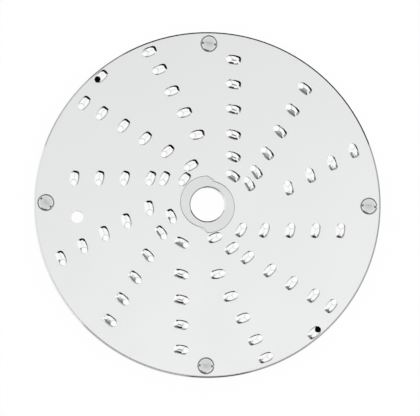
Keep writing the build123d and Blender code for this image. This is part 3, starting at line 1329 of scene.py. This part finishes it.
@dataclass(frozen=True)
class Flag:
    """A black or grey card beside the table, which the polished teeth mirror.

    It stands between two azimuths and two elevations, in degrees.
    """

    name: str
    start: float
    end: float
    low: float
    high: float
    shade: float
    distance: float = 1.6
    steps: int = 32

    def finish(self) -> Material:
        """Makes the card's flat, even finish.

        Returns:
            The material.
        """
        material, graph = start_material(self.name)
        even = graph.out("ShaderNodeEmission", "Emission", Color=(*3 * (self.shade,), 1.0),
                         Strength=1.0)
        graph.add("ShaderNodeOutputMaterial", Surface=even)
        return material

    def build(self) -> None:
        """Stands the card on an arc around the disc, out of the camera's sight."""
        draft = MeshDraft()
        span = self.end - self.start
        turns = [self.start + span * step / self.steps for step in range(self.steps + 1)]
        rows = []
        for elevation in (self.low, self.high):
            level = self.distance * math.tan(math.radians(elevation))
            rows.append(draft.ring([(*polar(self.distance, turn), level) for turn in turns]))
        foot, top = rows
        for index in range(self.steps):
            draft.mesh.faces.new((foot[index], foot[index + 1], top[index + 1], top[index]))
        card = place_object(self.name, draft.finish(self.name))
        card.data.materials.append(self.finish())
        card.visible_camera = False


@dataclass
class Studio:
    """The table, the light tent and the camera."""

    image_width: int = 420
    image_height: int = 416
    disc_centre_px: Point = (207.5, 204.3)
    disc_radius_px: float = 173.6
    disc_radius: float = 102.5 * MM
    plate_level: float = 8.0 * MM
    camera_distance: float = 3.0
    camera_lean: float = 4.5
    camera_azimuth: float = 255.0
    sensor_width: float = 36.0
    clip_end: float = 12.0
    floor_size: float = 12.0
    floor_drop: float = 0.05 * MM
    floor_glow: float = 0.97
    floor_colour: Colour = (0.95, 0.95, 0.95)
    tent_level: float = 1.15
    crown_levels: Point = (1.13, 0.9)
    crown_fall: Point = (0.02, 0.12)
    crown_limits: Point = (0.88, 0.965)
    crown_side: Point = (-0.3, 0.95)
    flags: tuple[Flag, ...] = tuple(Flag(*row) for row in (
        # name, azimuths, elevations, shade
        ("right_flag", 24.0, 82.0, 0.0, 18.0, 0.0),
        ("far_flag", 82.0, 116.0, 0.0, 15.0, 0.0),
        ("left_flag", 116.0, 130.0, 3.0, 14.0, 0.3),
        ("left_corner", 130.0, 156.0, 3.0, 14.0, 0.62),
        ("side_flag", -52.0, 24.0, 0.0, 12.0, 0.5),
        ("side_crest", -52.0, -4.0, 12.0, 19.5, 0.4),
        ("right_crest", -4.0, 24.0, 12.0, 18.0, 0.04),
        ("grey_figure", 200.0, 226.0, 17.0, 45.0, 0.3),
        ("tall_figure", 226.0, 246.0, 17.0, 50.0, 0.24),
        ("figure", 246.0, 264.0, 17.0, 36.0, 0.03),
        ("figure_foot", 222.0, 264.0, 8.0, 17.0, 0.6),
        ("near_flag", 264.0, 286.0, 6.0, 23.0, 0.1),
        ("near_corner", 286.0, 308.0, 6.0, 21.0, 0.4),
        ("camera_body", 215.0, 275.0, 58.0, 89.0, 0.2),
    ))

    def off_vertical(self, azimuth: float) -> Place:
        """Gives the direction that leans from the vertical as far as the camera's view does."""
        lean = math.radians(self.camera_lean)
        return (*polar(math.sin(lean), azimuth), math.cos(lean))

    def camera(self) -> None:
        """Sets the camera up as the photograph was taken, almost straight above the disc."""
        scale = self.disc_radius / self.disc_radius_px
        aim = Vector(((self.image_width / 2 - self.disc_centre_px[0]) * scale,
                      (self.disc_centre_px[1] - self.image_height / 2) * scale, self.plate_level))
        back = Vector(self.off_vertical(self.camera_azimuth))
        right = Vector((0.0, 1.0, 0.0)).cross(back).normalized()
        data = bpy.data.cameras.new("camera")
        data.sensor_width = self.sensor_width
        data.lens = self.sensor_width * self.camera_distance / (self.image_width * scale)
        data.clip_end = self.clip_end
        made = place_object("camera", data)
        turned = Matrix((right, back.cross(right), back)).transposed().to_4x4()
        turned.translation = aim + back * self.camera_distance
        made.matrix_world = turned
        bpy.context.scene.camera = made

    def floor(self) -> None:
        """Lays the white table, which keeps a faint shadow."""
        material, graph = start_material("white_table")
        matte = graph.out("ShaderNodeBsdfDiffuse", "BSDF", Color=(*self.floor_colour, 1.0))
        glow = graph.out("ShaderNodeEmission", "Emission", Strength=1.0)
        path = graph.add("ShaderNodeLightPath").outputs
        seen = graph.math("MAXIMUM", path["Is Camera Ray"],
                          graph.math("MAXIMUM", path["Is Glossy Ray"], path["Is Transmission Ray"]))
        mix = graph.add("ShaderNodeMixShader", Fac=graph.math("MULTIPLY", seen, self.floor_glow))
        graph.feed(mix.inputs[1], matte)
        graph.feed(mix.inputs[2], glow)
        graph.add("ShaderNodeOutputMaterial", Surface=mix.outputs["Shader"])
        half = self.floor_size / 2
        square = [(-half, -half), (half, -half), (half, half), (-half, half)]
        draft = MeshDraft()
        draft.mesh.faces.new(draft.ring(at_height(square, -self.floor_drop)))
        table = place_object("table", draft.finish("table"))
        table.data.materials.append(material)

    def tent(self) -> None:
        """Hangs the white light tent, a little darker around the camera's opening at its crown."""
        world = bpy.data.worlds.new("light_tent")
        world.use_nodes = True
        graph = Graph(world.node_tree)
        direction = graph.out("ShaderNodeTexCoord", "Generated")
        axes = graph.axes(direction)
        lean = graph.math("ADD", graph.math("MULTIPLY", axes["X"], self.crown_side[0]),
                          graph.math("MULTIPLY", axes["Y"], self.crown_side[1]))
        crown = graph.fade(lean, self.crown_fall, self.crown_levels)
        toward = graph.add("ShaderNodeVectorMath", {"operation": "DOT_PRODUCT"})
        graph.feed(toward.inputs[0], direction)
        graph.feed(toward.inputs[1], self.off_vertical(self.camera_azimuth + 180))
        level = graph.fade(toward.outputs["Value"], self.crown_limits, (self.tent_level, crown))
        backdrop = graph.out("ShaderNodeBackground", "Background", Color=(1.0, 1.0, 1.0, 1.0),
                             Strength=level)
        graph.add("ShaderNodeOutputWorld", Surface=backdrop)
        bpy.context.scene.world = world

    def build(self) -> None:
        """Sets up the colour handling, table, light and camera."""
        bpy.context.scene.view_settings.view_transform = "Standard"
        self.floor()
        self.tent()
        for flag in self.flags:
            flag.build()
        self.camera()


def main() -> None:
    """Builds the disc's pieces in order, then the studio around them."""
    logging.basicConfig(level=logging.INFO, format="%(name)s: %(message)s")
    effects = SurfaceEffects()
    sheet = RolledSteel("rolled_sheet", colour=(0.80, 0.805, 0.805), smooth=0.13, dull=0.17,
                        patch_size=40 * MM)
    casting = CastAluminium("cast_aluminium", colour=(0.725, 0.737, 0.73), smooth=0.14, dull=0.19,
                            patch_size=15 * MM)
    turned = TurnedSteel("turned_steel", colour=(0.66, 0.665, 0.665), smooth=0.2, dull=0.26,
                         patch_size=4 * MM)
    for part, finish in ((GratingPlate(), sheet), (Carrier(), casting), (RimScrews(), turned)):
        piece = part.build(finish.make(effects))
        log.info("%s: %d faces", piece.name, len(piece.data.polygons))
    Studio().build()


if __name__ == "__main__":
    main()
